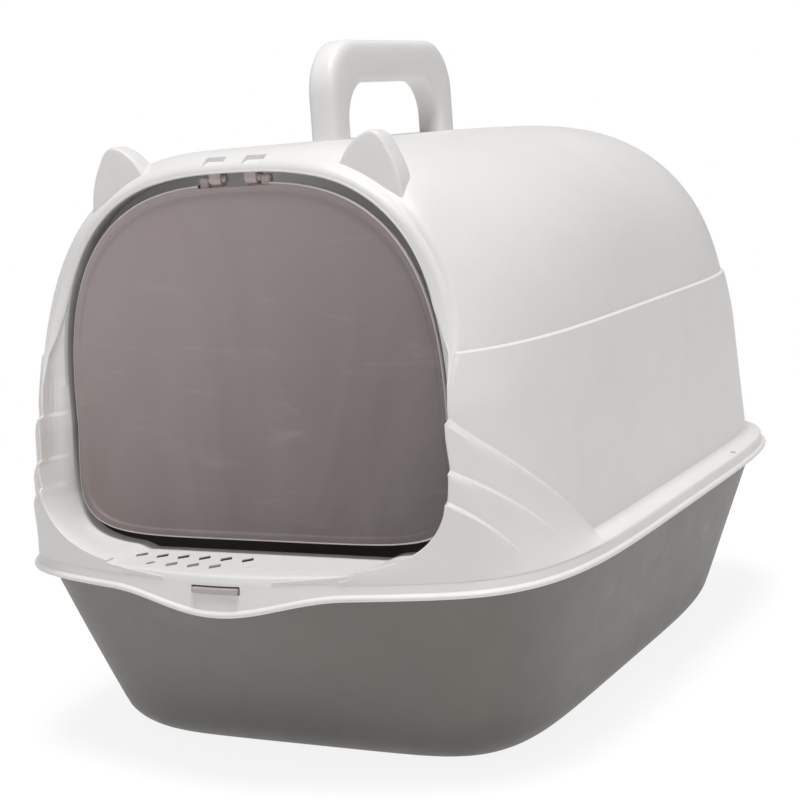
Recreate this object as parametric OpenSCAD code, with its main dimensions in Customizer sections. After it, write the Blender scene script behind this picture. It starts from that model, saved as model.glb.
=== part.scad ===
// Hooded litter box: a tray under a lift-off hood with cat ears, a swinging door,
// a carry handle and a carbon filter. Millimetres, +Z up, the door faces -Y, and the
// origin is on the ground under the middle of the hood's bead.
// Plan outlines are superellipses about the widest section, which is at y = mid_y.

/* [Tray] */
// Y of the widest section, which every outline is measured from
mid_y = 7; // [0:0.5:12]
// Half-width of the floor's outline, at the ground
floor_a = 138.5; // [120:0.5:150]
// Reach of the floor's outline to the front
floor_fore = 199; // [175:1:215]
// Reach of the floor's outline to the rear
floor_aft = 216; // [190:1:232]
// Half-width over the rim
rim_a = 179.5; // [172:0.5:190]
// Reach of the rim to the front
rim_fore = 251.5; // [244:0.5:262]
// Reach of the rim to the rear
rim_aft = 257.5; // [252:0.5:270]
// Height of the rim's top face
rim_z = 121.3; // [105:0.1:140]
// Thickness of the tray's walls and floor
tray_t = 2.6; // [2:0.1:3.4]
// Width of the flange round the rim
flange_w = 2; // [1:0.1:3]
// Depth of that flange
flange_t = 3; // [2:0.1:4]
// Radius of the edge between floor and walls
foot_r = 21; // [12:1:28]

/* [Hood skirt] */
// Thickness of the hood's walls
hood_t = 2.6; // [2:0.1:3.2]
// Gap between the tray's rim and the skirt, all round
skirt_gap = 0.6; // [0.4:0.05:1]
// Gap under the ledge that rests over the rim
seat_gap = 0.3; // [0.2:0.05:0.5]
// How far the bead stands out from the skirt
bead_out = 2.3; // [1.5:0.1:3]
// Depth of the bead
bead_h = 3.2; // [2.4:0.1:4]
// How far the skirt hangs below the rim's top
skirt_h = 7; // [6:0.1:9]
// Height of the skirt's shoulder above the rim's top
band_h = 2.7; // [2:0.1:4]
// How far the apron's nose stands forward
nose_y = 20; // [12:0.5:26]
// Half-width of the nose
nose_a = 140; // [120:1:155]
// How far the bead dips at the middle of the apron
dip_z = 10; // [4:0.5:14]
// Half-width of that dip
dip_a = 76; // [60:1:90]

/* [Hood shell] */
// Half-width of the walls at their foot
wall_a = 170.3; // [164:0.1:172]
// Reach of the walls to the front
wall_fore = 259; // [250:0.5:262]
// Reach of the walls to the rear
wall_aft = 251; // [240:0.5:254]
// Height of the walls' foot above the rim's top
wall_up = 8.7; // [8:0.1:10]
// Height of the side panels' upper line above the rim's top
line_up = 121.7; // [110:0.5:130]
// How much the panels stand out at that line
line_out = 1.8; // [0.8:0.1:2]
// Height above the rim's top where the roof starts to curve in
spring_up = 94; // [85:1:100]
// Height of the ridge above the rim's top
ridge_up = 235.5; // [226:0.5:250]
// Inward lean of the side walls, in millimetres per metre of height
lean_x = 52; // [30:1:80]
// Inward lean of the rear wall, in millimetres per metre of height
lean_y = 88; // [60:1:120]
// Step at the first whisker line, at the door's edge
whisker_out = 2; // [1:0.1:2.4]

/* [Door opening] */
// Half-width of the opening's arch
open_a = 125; // [115:0.5:127]
// Height of the arch's centre line above the rim's top
open_mid = 78.7; // [70:0.5:84]
// Rise of the arch over its centre line
open_up = 148; // [135:0.5:149]
// Height of the entry step above the rim's top
sill_up = 6.7; // [5:0.1:7.5]
// Y of the opening's lip
lip_y = -215; // [-216:0.5:-212]
// Depth of the frame behind the lip
frame_d = 11; // [9:0.5:14]
// Flare of the frame in front of the lip
flare = 4; // [2:0.5:5]

/* [Door] */
// Gap beside the door
door_gap = 3; // [2:0.1:5]
// Gap over the door
door_top = 6; // [5:0.1:8]
// Gap under the door
door_foot = 9.5; // [5:0.5:14]
// Thickness of the door's panel
door_t = 2.5; // [1.6:0.1:3]
// How far the door's rim stands proud of the panel
door_lip = 1.4; // [0.8:0.1:1.6]
// Width of that rim
door_band = 4; // [3:0.1:6]
// Setback of the panel's front face behind the lip
door_back = 4; // [3:0.1:5]
// Radius of the hinge pins
pin_r = 2.4; // [1.8:0.1:2.6]
// Radial clearance of the pins in their hooks
pin_fit = 0.06; // [0.03:0.01:0.1]
// Drop of the hinge axis below the lip's top
pin_drop = 7.4; // [6.6:0.1:8]
// Distance of each pin's inner end from the middle
pin_x = 6; // [4:0.5:8]
// Length of each pin
pin_l = 11; // [9:0.5:13]
// Width of each lug
lug_w = 6; // [4:0.5:8]
// Length of each hook along its pin
hook_l = 7; // [5:0.5:8]
// Wall of the hooks round the pins
hook_t = 1.5; // [1.2:0.1:1.6]
// Distance of each recess over the hinge from the middle
recess_x = 14; // [10:1:18]
// Length and height of each recess
recess_l = 13; // [8:1:16]
recess_h = 3.4; // [2:0.2:4]

/* [Ears and entry step] */
// Distance of each ear's tip from the middle
ear_x = 82; // [70:1:88]
// Height of the ears' tips above the ridge
ear_up = 4.4; // [2:0.2:8]
// Radius of the ears' tips
ear_r = 11; // [8:0.5:13]
// Depth of the ears
ear_d = 14; // [10:0.5:18]
// Width of the diamond holes across their corners
hole_w = 6.4; // [4:0.2:7.5]
// Pitch of the diamond holes
hole_pitch = 14.4; // [12:0.2:16]

/* [Catch] */
// Half-width of the catch's tongue
catch_a = 15; // [10:0.5:20]
// Thickness of the tongue
catch_t = 3.4; // [2.4:0.1:4]
// Gap round the tongue in its slot
catch_gap = 0.5; // [0.3:0.05:0.8]

/* [Handle] */
// Width of the handle's bar
grip_w = 19; // [14:0.5:24]
// Length of the handle
grip_l = 171; // [150:1:180]
// Y of the handle's middle
grip_y = -21.5; // [-26:0.5:-10]
// Height of the handle above the roof
grip_h = 60.6; // [48:0.5:72]
// Width of the legs
leg_w = 22; // [16:0.5:24]
// Depth of the bar over the finger hole
bar_h = 26; // [18:0.5:30]
// Radius of the handle's upper corners
grip_r = 32; // [20:1:40]
// Radius of the finger hole's upper corners
grasp_r = 26; // [14:1:30]
// Width and length of each snap foot
foot_w = 10; // [8:0.5:12]
// Clearance of the snap feet in the roof
foot_gap = 0.3; // [0.2:0.05:0.5]
// Barb of the snap feet
barb = 1.4; // [0.8:0.1:2]

/* [Filter] */
// Y of the filter's middle
vent_y = 126; // [118:1:130]
// Half-length of the filter box
box_l = 42; // [38:0.5:48]
// Half-width of the filter box
box_a = 40; // [36:0.5:46]
// Height of the filter box
box_h = 16; // [12:0.5:20]
// Thickness of the filter box's walls
box_t = 2; // [1.5:0.1:2.5]
// Thickness of the carbon filter
pad_h = 9; // [6:0.5:10]
// Width of the vent slots
slot_w = 5; // [4:0.5:6]
// Pitch of the vent slots
slot_pitch = 11; // [9:0.5:13]

/* [Hidden] */
eps = 0.01;

// Heights that follow from the rim
top_z = rim_z - flange_t;
ledge_z = rim_z + seat_gap;
skirt_z = rim_z - skirt_h;
band_z = rim_z + band_h;
foot_z = rim_z + wall_up;
line_z = rim_z + line_up;
spring_z = rim_z + spring_up;
ridge_z = rim_z + ridge_up;
sill_z = rim_z + sill_up;
open_z = rim_z + open_mid;
open_down = open_mid - sill_up;

// Skirt outlines, from the rim outward
skirt_in = skirt_gap;
skirt_out = skirt_gap + hood_t;
bead = skirt_out + bead_out;

// Exponents of the outlines: front and rear
floor_n = [6.5, 4.8];
rim_n = [5.1, 5.2];
wall_n = [5.1, 5.65];
roof_n = [2.67, 2.81];
// Exponents of the roof's fall, across and to the rear
roof_x = [2.61, 3.97];
roof_y = [2.85, 6.32];
// Angles of the outlines' corners, seen from the middle
fore_c = 33;
aft_c = 34;

// Angles from 0 to 90 that crowd round the corner at c, before it by the exponent e
function fan(c, m, n, e = 1) = concat([for (i = [0:m - 1]) c * (1 - pow(1 - i / m, e))],
                                      [for (i = [0:n]) c + (90 - c) * pow(i / n, 1.5)]);
FORE = fan(fore_c, 10, 7);
AFT = fan(aft_c, 5, 6, 1.4);

function clamp(v) = min(1, max(0, v));
function bump(x, a) = abs(x) < a ? pow(cos(90 * x / a), 2) : 0;
function mix(a, b, t) = a + (b - a) * t;
// Radius of a superellipse with half-axes a and b and exponent n, at angle p from b
function radius(a, b, n, p) = pow(pow(abs(sin(p)) / a, n) + pow(abs(cos(p)) / b, n), -1 / n);

// One quarter of an outline: s is the sign of x, and d = -1 is the front quarter
function quarter(s, d, reach, n, z, zf, nose, dip, ps) = [
    for (p = ps) let(
        r = radius(reach.x, d < 0 ? reach.y : reach.z, d < 0 ? n.x : n.y, p),
        x = s * r * sin(p),
        y = mid_y + d * r * cos(p),
        front = d < 0 ? 1 : 0,
        w = clamp((-y - 150) / 80) * front
    ) [x, y - front * nose * nose_y * bump(x, nose_a),
       mix(z, zf, w) - front * dip * dip_z * bump(x, dip_a)]];

function back_to_front(v) = [for (i = [len(v) - 1:-1:0]) v[i]];
function but_last(v) = [for (i = [0:len(v) - 2]) v[i]];

// A closed plan outline. reach is [half-width, fore, aft]; zf is its height at the front.
function ring(reach, n, z, zf = undef, nose = 0, dip = 0) =
    let(zf = is_undef(zf) ? z : zf) concat(
        but_last(quarter(1, -1, reach, n, z, zf, nose, dip, FORE)),
        but_last(quarter(1, 1, reach, n, z, zf, nose, dip, back_to_front(AFT))),
        but_last(quarter(-1, 1, reach, n, z, zf, nose, dip, AFT)),
        but_last(quarter(-1, -1, reach, n, z, zf, nose, dip, back_to_front(FORE))));

// A solid through closed outlines that all have the same number of points
module loft(rings) {
    m = len(rings[0]);
    last = len(rings) - 1;
    sides = [for (i = [0:last - 1], j = [0:m - 1], h = [0, 1]) let(
        a = i * m + j,
        b = i * m + (j + 1) % m
    ) h == 0 ? [a, a + m, b + m] : [a, b + m, b]];
    polyhedron(
        points = [for (r = rings, p = r) p],
        faces = concat([[for (j = [0:m - 1]) j]], sides,
                       [[for (j = [m - 1:-1:0]) last * m + j]]),
        convexity = 8);
}

// ---- Tray ----

function grow(reach, g) = [reach.x + g, reach.y + g, reach.z + g];
rim_reach = [rim_a, rim_fore, rim_aft];
tray_top = grow(rim_reach, -flange_w);
tray_floor = [floor_a, floor_fore, floor_aft];

// The tray's outline at height z, drawn in by g
function tray_ring(z, g) = let(t = z / top_z)
    ring(grow(mix(tray_floor, tray_top, t), -g), mix(floor_n, rim_n, t), z,
         nose = pow(t, 1.5));

tray_levels = [0.3, 0.5, 0.7, 0.88];

// resize() keeps a moulded shell one closed skin
module tray() color("dimgray") resize([0, 0, 0]) difference() {
    loft(concat(
        [for (p = [0:18:90]) tray_ring(foot_r * (1 - cos(p)), foot_r * (1 - sin(p)))],
        [for (t = tray_levels) tray_ring(t * top_z, 0)],
        [tray_ring(top_z, 0),
         ring(rim_reach, rim_n, top_z, nose = 1),
         ring(rim_reach, rim_n, rim_z, nose = 1),
         ring(grow(tray_top, -tray_t), rim_n, rim_z, nose = 1)],
        [for (t = back_to_front(tray_levels)) tray_ring(t * top_z, tray_t)],
        [for (p = [90:-18:0]) tray_ring(
            foot_r - (foot_r - tray_t) * cos(p),
            foot_r - (foot_r - tray_t) * sin(p))]));
    catch_seat();
}

// Where the catch's tongue takes the place of the rim's edge
module catch_seat()
    translate([-catch_a, nose_tip - 1, top_z - eps])
        cube([2 * catch_a, catch_root + 1, 2 * flange_t]);

// ---- Front catch ----

// Y of the rim's foremost point, and how deep the tongue is let into it
nose_tip = mid_y - rim_fore - nose_y;
catch_root = 1.5;
catch_reach = skirt_out + bead_out;

module front_catch() color("rosybrown")
    translate([-catch_a, nose_tip - catch_reach, rim_z - catch_t])
        difference() {
            cube([2 * catch_a, catch_reach + catch_root, catch_t]);
            translate([0, catch_reach + catch_root - tongue_seat, -1])
                cube([2 * catch_a, tongue_seat + 1, 1 + catch_t - flange_t]);
        }
tongue_seat = catch_root + skirt_gap;

// ---- Hood ----

function fall(u, n) = pow(max(0, 1 - pow(u, n.x)), 1 / n.y);
// The wall's reach at height z, drawn in by t, and its exponents
function wall_reach(z, t) = let(u = clamp((z - spring_z) / (ridge_z - t - spring_z)), h = z - foot_z) [
    (wall_a - lean_x / 1000 * h) * fall(u, roof_x) - t,
    wall_fore - t,
    (wall_aft - lean_y / 1000 * h) * fall(u, roof_y) - t];
function wall_exp(z, t) = mix(wall_n, roof_n, clamp((z - spring_z) / (ridge_z - t - spring_z)));
function wall_ring(z, t, g = 0) = ring(grow(wall_reach(z, t), -g), wall_exp(z, t), z);

// Levels of the roof, evenly spaced round its curve
roof_levels = [for (p = [18, 26, 34, 42, 50, 58, 66, 74, 81, 86]) pow(sin(p), 2 / roof_x.x)];
function roof_z(u, t) = spring_z + u * (ridge_z - t - spring_z);
function panel_fade(z) = z < line_z ? clamp((z - line_z + 18) / 18) : clamp(1 - (z - line_z) / 50);

band = grow(rim_reach, skirt_out);
shoulder = [wall_a + 3.7, wall_fore - 1.5, wall_aft + 4];
fillet = [wall_a + 1, wall_fore - 0.5, wall_aft + 1];
lower_levels = [0.3, 0.6, 0.85];

// Outlines of the hood's skin from the skirt's shoulder to the roof, drawn in by t
function hood_skin(t) = concat(
    [ring(grow(band, -0.6 - t), rim_n, band_z, nose = 1),
     ring(grow(shoulder, -t), rim_n, band_z + 2, zf = sill_z - 0.5, nose = 0.6),
     ring(grow(fillet, -t), wall_n, band_z + 3.3, zf = sill_z + 0.7, nose = 0.2),
     wall_ring(foot_z, t)],
    [for (f = lower_levels) wall_ring(mix(foot_z, line_z, f), t)],
    [wall_ring(line_z, t),
     wall_ring(line_z + 0.5, t, line_out)],
    [for (u = roof_levels) if (roof_z(u, t) > line_z + 3)
        wall_ring(roof_z(u, t), t, line_out * panel_fade(roof_z(u, t)))]);

// Outlines of the inner skin from the roof down to the ledge
hood_inner = concat(
    [for (u = back_to_front(roof_levels)) if (roof_z(u, hood_t) > line_z + 3)
        wall_ring(roof_z(u, hood_t), hood_t, line_out * panel_fade(roof_z(u, hood_t)))],
    [wall_ring(line_z, hood_t, line_out)],
    [for (f = back_to_front(lower_levels)) wall_ring(mix(foot_z, line_z, f), hood_t)],
    [wall_ring(ledge_z, hood_t)]);

module hood_shell() loft(concat(
    hood_inner,
    [ring(grow(rim_reach, skirt_in), rim_n, ledge_z, nose = 1),
     ring(grow(rim_reach, skirt_in), rim_n, skirt_z, nose = 1, dip = 1),
     ring(grow(rim_reach, bead), rim_n, skirt_z, nose = 1, dip = 1),
     ring(grow(rim_reach, bead), rim_n, skirt_z + bead_h, nose = 1, dip = 1),
     ring(band, rim_n, skirt_z + bead_h + 0.5, nose = 1, dip = 1)],
    hood_skin(0)));

// The door's opening in the XZ plane: sx, su and sd widen it to the sides, up and down
low_c = atan(open_down / open_a);
function half_arch(sx, su, sd, g) = concat(
    [for (p = fan(90 - low_c, 5, 6, 1.6)) let(
        r = radius(open_a + open_more + sx, open_down + sd, 6, p),
        z = open_z - r * cos(p),
        thin = 1 - clamp((open_z - z) / 40)
    ) [r * sin(p) - open_more * thin + g * clamp((z - sill_z - 2) / 50), z]],
    [for (i = [1:14]) let(
        p = 90 - 90 * i / 14,
        r = radius(open_a + sx + g, open_up + su + g, 2.8, p)
    ) [r * sin(p), open_z + r * cos(p)]]);
open_more = 3;
function opening(sx = 0, su = 0, sd = 0, g = 0) = let(h = half_arch(sx, su, sd, g))
    concat(h, [for (i = [len(h) - 2:-1:1]) [-h[i].x, h[i].y]]);
function upright(outline, y) = [for (q = outline) [q.x, y, q.y]];

// Everything in front of the door, out through the front of the hood
front_y = -300;
frame_y = lip_y + frame_d;
module door_way() loft([
    upright(opening(), frame_y + 1),
    upright(opening(), lip_y - 2.5),
    upright(opening(g = flare), lip_y - 9),
    upright(opening(g = flare), front_y)]);

// The hood's front face in the YZ plane, from the sill up: y and height above the rim's top
face_line = [[-256, 10], [-249, 17], [-240, 40], [-234, 65], [-230, 86], [-224, 109],
             [-221, 140], [-219, 180]];
module face_cut(back) rotate([90, 0, 90]) translate([0, 0, -rim_a])
    linear_extrude(2 * rim_a)
        polygon(concat([[front_y, sill_z + 0.5]],
                       [for (q = face_line) [q.x + back, q.y + rim_z]],
                       [[face_line[7].x + back, ridge_z + 50], [front_y, ridge_z + 50]]));

// The frame behind the front face: its tunnel, the entry step and the face's own wall
module door_frame() intersection() {
    loft(hood_skin(hood_t / 2));
    union() {
        loft([upright(opening(hood_t, hood_t, hood_t), frame_y),
              upright(opening(hood_t, hood_t, hood_t), lip_y - 2.5),
              upright(opening(hood_t, hood_t, hood_t, flare), lip_y - 9),
              upright(opening(hood_t, hood_t, hood_t, flare), front_y)]);
        face_cut(hood_t);
    }
}

// Whisker lines on each cheek: [angle of the rear end, height above the rim at whisker_c,
// fall per degree, curve of that fall]
whiskers = [[52, 87.5, 3.64, 0], [43.5, 61.2, 2.6, 0.065], [36, 43.2, 3, 0.17]];
whisker_c = 29;
cheek_ps = [23, 26, 29, 31, 33, 35, 37.5, 40, 43, 46, 48.5, 50];
function whisker_z(k, p) = let(w = whiskers[k], q = min(p, w[0]), d = q - whisker_c,
    z = rim_z + w[1] - w[2] * d - w[3] * max(0, d) * d
) k == 0 ? z : band_z + (z - band_z) * (whisker_z(0, p) - band_z) / (whisker_z(0, q) - band_z);
function wall_radius(p, z) = let(r = wall_reach(z, 0), n = wall_exp(z, 0)) radius(r.x, r.y, n.x, p);
function band_radius(p) = radius(band.x - 0.6, band.y - 0.6, rim_n.x, p);
// Step along line k at angle p, which runs out at the rear end
function step(k, p) = let(end = whiskers[k][0])
    whisker_out * (1 - 0.12 * k) * pow(clamp((end - p) / (end - whisker_c)), 0.6);
// How far the cheek stands out from the wall at height z, below the first n lines
function cheek(n, p, z) = let(
    v = clamp((whisker_z(0, p) - z) / (whisker_z(0, p) - band_z)),
    swell = mix(step(0, p), band_radius(p) + cheek_proud - wall_radius(p, band_z), v * v)
) swell + (n > 1 ? cheek_step(1, p, z) : 0) + (n > 2 ? cheek_step(2, p, z) : 0);
function cheek_step(k, p, z) = let(top = whisker_z(k, p))
    step(k, p) * (1 - clamp((top - z) / (top - band_z)));
function polar(p, r, z) = [r * sin(p), mid_y - r * cos(p), z];
function on_cheek(n, p, z) = polar(p, wall_radius(p, z) + cheek(n, p, z), z);
sunk = 1.4;
cheek_proud = 0.6;
function cheek_profile(p) = let(z = [for (k = [0:2]) whisker_z(k, p)], draft = 0.2) [
    polar(p, wall_radius(p, band_z) - sunk, ledge_z + 0.4),
    polar(p, wall_radius(p, z[0]) - sunk, z[0]),
    on_cheek(1, p, z[0]),
    on_cheek(1, p, mix(z[0], z[1], 0.5)),
    on_cheek(1, p, z[1]),
    on_cheek(2, p, z[1] - draft),
    on_cheek(2, p, z[2]),
    on_cheek(3, p, z[2] - draft),
    on_cheek(3, p, band_z),
    polar(p, band_radius(p) - 0.3, ledge_z + 0.4)];
module cheeks() for (side = [0, 1]) mirror([side, 0, 0])
    loft([for (p = cheek_ps) cheek_profile(p)]);

// The ears, rounded at the tip, which grow out of the roof
ear_z = ridge_z + ear_up - ear_r;
ear_y = lip_y + 8;
module ears() difference() {
    for (side = [0, 1]) mirror([side, 0, 0]) hull() {
        translate([ear_x, ear_y + 4, ear_z]) rotate([90, 0, 0])
            cylinder(r = ear_r, h = 4, $fn = 32);
        translate([ear_x - 20, ear_y, ear_z - 12]) cube([5, 4, 2]);
        translate([ear_x + 14, ear_y, ear_z - 22]) cube([3, 4, 2]);
        translate([ear_x - 12, ear_y + ear_d, ear_z - 16]) cube([16, 1, 6]);
    }
    loft(hood_skin(hood_t / 2));
}

// Diamond holes through the entry step, left, and the same diamonds sunk in it, right
hole_rows = [[-228, 5, -2], [-247, 3, -12]];
module diamond(x, y, w, z, h) translate([x, y, z])
    linear_extrude(h) scale([1, 1.25]) circle(r = w / 2, $fn = 4);
module step_holes() for (row = hole_rows, i = [0:row[1]]) let(x = row[2] - hole_pitch * i) {
    w = row[1] == 3 && (i == 3) ? hole_w * 0.7 : hole_w;
    diamond(x, row[0], w, sill_z - hood_t - 6, hood_t + 8);
    if (x < -6)
        diamond(-x, row[0], w, sill_z - 0.6, 2);
}

// Windows that the catch, the two side clips and the drain dimples show through
module skirt_windows() {
    translate([-catch_a - catch_gap, nose_tip - catch_reach - 1, rim_z - catch_t - catch_gap])
        cube([2 * (catch_a + catch_gap), catch_reach + 1, catch_t + seat_gap + catch_gap]);
    for (side = [0, 1]) mirror([side, 0, 0]) {
        translate([rim_a + skirt_in + 0.8, clip_y, skirt_z + bead_h])
            cube([hood_t + bead_out + 2, 10, 2.4]);
        translate([shoulder.x + 2.5, dimple_y - 3, ledge_z + 1]) cube([3, 6, 8]);
    }
}
clip_y = -170;
dimple_y = 118;

// Slots in the roof over the filter, holes for the handle's feet, and the two recesses
// above the hinge
module roof_cuts() {
    for (x = [-2:2], y = [-1, 1])
        translate([x * slot_pitch - slot_w / 2, vent_y + y * 16 - 13, ridge_z - 12])
            cube([slot_w, 26, 20]);
    for (y = foot_ys)
        translate([-foot_w / 2 - foot_gap, y - foot_w / 2 - foot_gap, ridge_z - 12])
            cube([foot_w + 2 * foot_gap, foot_w + 2 * foot_gap, 20]);
    for (x = [-1, 1])
        translate([x * recess_x - recess_l / 2, lip_y - 6.2, open_z + open_up + 1])
            cube([recess_l, 4.2, recess_h]);
}

// Hinge hooks, with the bores that the door's pins turn in
axis_y = lip_y + door_back + door_t / 2 - 0.25;
axis_z = open_z + open_up - pin_drop;
hook_x = pin_x + (pin_l - hook_l) / 2;
hook_r = pin_r + pin_fit + hook_t;
module hinge_hooks() color("whitesmoke") for (side = [-1, 1])
    translate([side * (hook_x + hook_l / 2) - hook_l / 2, axis_y, axis_z])
        difference() {
            union() {
                rotate([0, 90, 0]) cylinder(r = hook_r, h = hook_l, $fn = 48);
                translate([0, -hook_r, 0]) cube([hook_l, 2 * hook_r, pin_drop]);
            }
            translate([-1, -2 * hook_r, pin_drop - seat_gap]) cube([hook_l + 2, 4 * hook_r, hook_r]);
            translate([-1, 0, 0]) rotate([0, 90, 0])
                cylinder(r = pin_r + pin_fit, h = hook_l + 2, $fn = 48);
        }

module hood() color("whitesmoke") resize([0, 0, 0]) difference() {
    union() {
        hood_shell();
        door_frame();
        cheeks();
        ears();
    }
    door_way();
    face_cut(0);
    step_holes();
    skirt_windows();
    roof_cuts();
}

// ---- Swing door ----

panel_y = lip_y + door_back;
module door_sheet(sx, y, t) translate([0, y + t, 0]) rotate([90, 0, 0])
    linear_extrude(t) polygon(opening(-door_gap - sx, -door_top - sx, -door_foot - sx));

lug_x = pin_x + pin_l;
notch_z = axis_z - hook_r - 0.6;
module swing_door() color("gray", 0.8) {
    difference() {
        union() {
            door_sheet(0, panel_y, door_t);
            difference() {
                door_sheet(0, panel_y - door_lip, door_lip);
                door_sheet(door_band, panel_y - door_lip - 1, door_lip + 1);
            }
        }
        translate([-lug_x - lug_w / 2, panel_y - 5, notch_z])
            cube([2 * lug_x + lug_w, 10, 20]);
    }
    for (side = [-1, 1]) {
        translate([side * (lug_x + lug_w / 2) - lug_w / 2, axis_y, axis_z]) rotate([0, 90, 0])
            cylinder(r = lug_r, h = lug_w, $fn = 48);
        translate([side * (lug_x + lug_w / 2) - lug_w / 2, axis_y - lug_r, axis_z - lug_h])
            cube([lug_w, 2 * lug_r, lug_h]);
        translate([side * (pin_x + pin_l / 2) - pin_l / 2 - eps, axis_y, axis_z])
            rotate([0, 90, 0]) cylinder(r = pin_r, h = pin_l + 2 * eps, $fn = 48);
    }
}
lug_r = pin_r + 0.1;
lug_h = 9;

// ---- Carry handle ----

roof_top = spring_z + roof_levels[9] * (ridge_z - spring_z);
foot_ys = [grip_y - grip_l / 2 + leg_w / 2, grip_y + grip_l / 2 - leg_w / 2];
// An arch of length l and height h with upper corners of radius r, standing on z = 0
function arch(l, h, r) = concat(
    [[-l / 2, 0], [l / 2, 0]],
    [for (p = [0:9:90]) [l / 2 - r + r * cos(p), h - r + r * sin(p)]],
    [for (p = [90:9:180]) [-l / 2 + r + r * cos(p), h - r + r * sin(p)]]);

module carry_handle() color("whitesmoke") {
    translate([-grip_w / 2, grip_y, roof_top]) rotate([90, 0, 90]) linear_extrude(grip_w)
        difference() {
            polygon(arch(grip_l, grip_h, grip_r));
            translate([0, -1]) polygon(arch(grip_l - 2 * leg_w, grip_h - bar_h + 1, grasp_r));
        }
    for (y = foot_ys) translate([0, y, roof_top]) {
        translate([-foot_w / 2, -foot_w / 2, -foot_h])
            cube([foot_w, foot_w, foot_h + eps]);
        translate([-foot_w / 2 - barb, -foot_w / 2, -foot_h])
            cube([foot_w + 2 * barb, foot_w, foot_h - hood_t - seat_gap]);
    }
}
foot_h = 7;

// ---- Filter ----

// Height of the roof's inner skin over the middle line at y
function roof_in(y) = let(reach = wall_reach(spring_z, hood_t).z - lean_y / 1000 * (ridge_z - spring_z))
    spring_z + (ridge_z - hood_t - spring_z)
        * pow(1 - pow((y - mid_y) / reach, roof_y.y), 1 / roof_y.x);
// The box stays this far under the roof's middle line, because the roof falls to the sides
box_drop = 2.3;
box_z = roof_in(vent_y + box_l) - box_drop;
module box_cube(in, z0, z1) translate([-box_a + in, vent_y - box_l + in, z0])
    cube([2 * (box_a - in), 2 * (box_l - in), z1 - z0]);

module filter_cover() color("whitesmoke") difference() {
    box_cube(0, box_z - box_h, box_z);
    box_cube(box_t, box_z - box_h + box_t, box_z + 1);
    for (x = [-3:3]) translate([x * slot_pitch * 0.9 - slot_w / 2, vent_y - box_l + 12, box_z - box_h - 1])
        cube([slot_w, 2 * box_l - 24, box_t + 2]);
}

module carbon_filter() color("dimgray")
    box_cube(box_t + seat_gap, box_z - box_h + box_t, box_z - box_h + box_t + pad_h);

tray();
front_catch();
hood();
hinge_hooks();
swing_door();
carry_handle();
filter_cover();
carbon_filter();
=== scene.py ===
"""The looks of a hooded cat litter box: tray, hood with ears, swing door, handle and filter."""

import math

import bmesh
import bpy
import numpy as np
from mathutils import Matrix


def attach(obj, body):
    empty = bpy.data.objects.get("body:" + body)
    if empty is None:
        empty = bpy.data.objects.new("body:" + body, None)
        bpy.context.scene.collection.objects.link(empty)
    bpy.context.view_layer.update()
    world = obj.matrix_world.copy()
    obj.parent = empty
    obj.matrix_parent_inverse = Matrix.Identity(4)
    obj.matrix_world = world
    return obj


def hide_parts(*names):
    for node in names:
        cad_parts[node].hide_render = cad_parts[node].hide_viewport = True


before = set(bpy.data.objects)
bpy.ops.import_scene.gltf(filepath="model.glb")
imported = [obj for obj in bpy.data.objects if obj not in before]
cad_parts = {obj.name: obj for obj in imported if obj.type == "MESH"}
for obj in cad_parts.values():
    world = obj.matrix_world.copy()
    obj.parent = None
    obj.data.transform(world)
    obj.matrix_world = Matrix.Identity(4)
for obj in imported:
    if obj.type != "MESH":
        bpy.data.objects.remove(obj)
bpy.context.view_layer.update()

# ---- Sizes of the moulding in mm, with the same names as in the part's source ----

MID_Y, RIM_Z, RIDGE_Z = 7, 121.3, 356.8
TOP_Z, LEDGE_Z, SKIRT_Z, BAND_Z = 118.3, 121.6, 114.3, 124
FOOT_Z, LINE_Z, SPRING_Z, SILL_Z, OPEN_Z = 130, 243, 215.3, 128, 200
FLOOR, RIM, WALL = (138.5, 199, 216), (179.5, 251.5, 257.5), (170.3, 259, 251)
FLOOR_N, RIM_N, WALL_N, ROOF_N = (6.5, 4.8), (5.1, 5.2), (5.1, 5.65), (2.67, 2.81)
ROOF_X, ROOF_Y = (2.61, 3.97), (2.85, 6.32)
LEAN_X, LEAN_Y = 0.052, 0.088
TRAY_T, HOOD_T, FLANGE_W, FOOT_R, LINE_OUT = 2.6, 2.6, 2, 21, 1.8
SKIRT_IN, SKIRT_OUT, BEAD = 0.6, 3.2, 5.5
NOSE_Y, NOSE_A, DIP_Z, DIP_A = 20, 140, 10, 76
NOSE_TIP, LIP, HANG, HANDLE_FEET = -264.5, 0.75, 0.7, (-96, 53)
HOLE_PITCH, HOLE_W, HOLE_LONG = 14.4, 7.4, 1.75

# The opening: its half-width, reach over and under its spring, exponents above and at the lower corners
OPEN_A, OPEN_UP, OPEN_DOWN, OPEN_N, MOUTH_N = 125.3, 144.4, 72, 2.8, 4.4
FRAME_Y, FLARE, WIDER = -204, 6, 3

# The door: its panel's front, back and band, and its hinge
PANEL_Y, AXIS_Y, AXIS_Z, PIN_R = -212.5, -210, 340.6, 2.4
BACK_Y, BAND_Y = PANEL_Y + 2.5, PANEL_Y - 1.4
PIN_IN, LUG_IN, LUG_OUT, CROWN_Z = 6, 17, 23, 246

# The front face's corners, (y, z)
FACE = np.array([(-275, 120), (-262, 150), (-250, 185), (-238, 212), (-230, 230), (-223, 248),
                 (-219.5, 263), (-216.3, 284), (-215, 305), (-215, 365)], float)

# Whisker lines: the angle where each ends, its height over the rim at WHISKER_C, its fall and its bend
WHISKERS = [(52, 87.5, 3.64, 0), (43.5, 61.2, 2.6, 0.065), (36, 43.2, 3, 0.17)]
CHEEK_FROM, CHEEK_TO, WHISKER_C = 22, 52, 29


# ---- Small maths ----


def clamp(v, low=0.0, high=1.0):
    return np.clip(v, low, high)


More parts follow.
